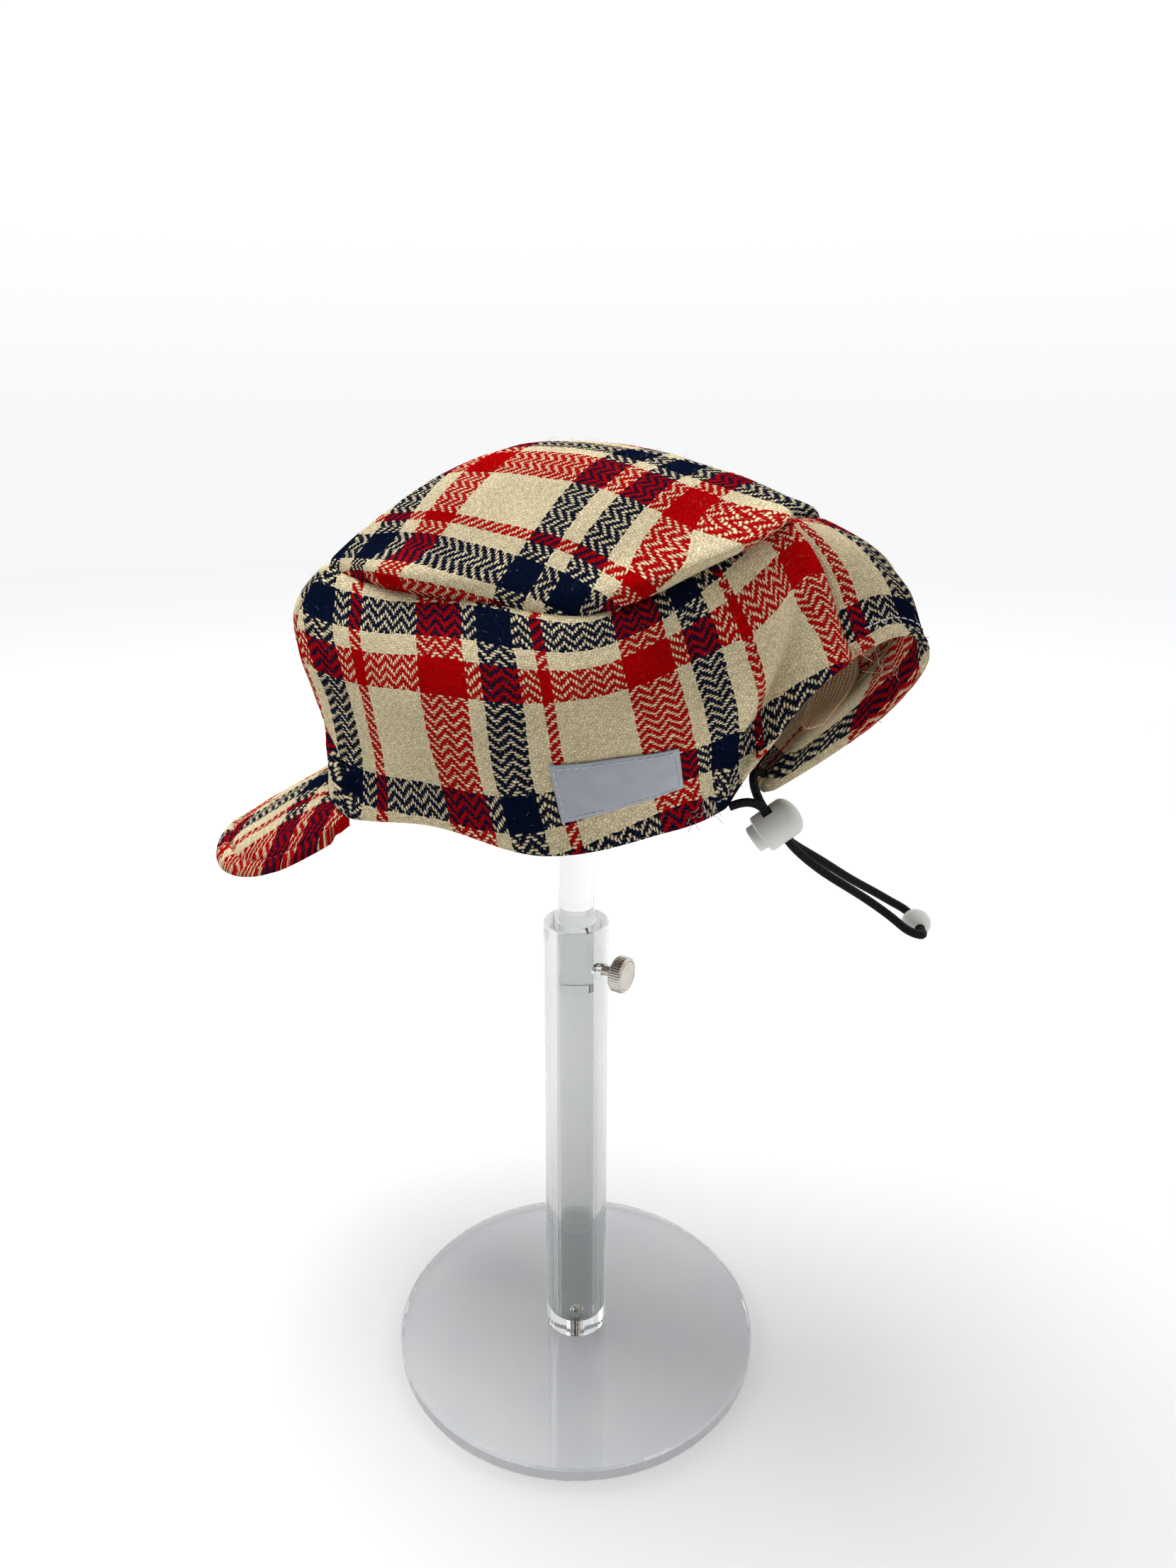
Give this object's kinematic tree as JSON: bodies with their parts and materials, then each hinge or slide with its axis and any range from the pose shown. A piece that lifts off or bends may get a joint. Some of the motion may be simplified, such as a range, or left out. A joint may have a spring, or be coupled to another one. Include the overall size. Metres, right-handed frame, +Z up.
{
  "type": "wool cap on display stand",
  "caption": "Soft plaid wool cap with a drooping bill and a back arch cinched by an elastic cord with lock and bead, resting on a clear post stand with a round base.",
  "frame": {"origin": "middle of the round base's underside, on the column's axis", "axes": "+Z up, the bill points to -Y, the wearer's left side with the label is +X"},
  "size_m": [0.1525, 0.2815, 0.372],
  "materials": {
    "wool": "fuzzy twill in a red, cream and navy plaid",
    "label": "woven satin",
    "tape": "ribbed weave",
    "elastic": "braided sleeve",
    "lock_plastic": "satin",
    "clear_plastic": "clear, polished",
    "nickel": "nickel plate"
  },
  "bodies": {
    "cap_and_stand": {"crown_front_panel": "wool", "crown_left_panel": "wool", "crown_right_panel": "wool", "crown_top_panel": "wool", "bill": "wool", "side_label": "label", "seam_tape": "tape", "bungee_cord": "elastic", "cord_lock_barrel": "lock_plastic", "cord_bead": "lock_plastic", "stand_base": "clear_plastic", "stand_column": "clear_plastic", "stand_rod": "clear_plastic", "stand_saddle": "clear_plastic", "thumb_screw": "nickel", "base_screw": "nickel"},
    "lock_plunger": {"cord_lock_plunger": "lock_plastic"}
  },
  "joints": [
    {"name": "plunger_press", "type": "slide", "parent": "cap_and_stand", "child": "lock_plunger", "axis": [-0.333, 0.7142, 0.6157], "range_m": [0, 0.003], "stiffness_N_per_m": 400, "springref_m": -0.004}
  ]
}
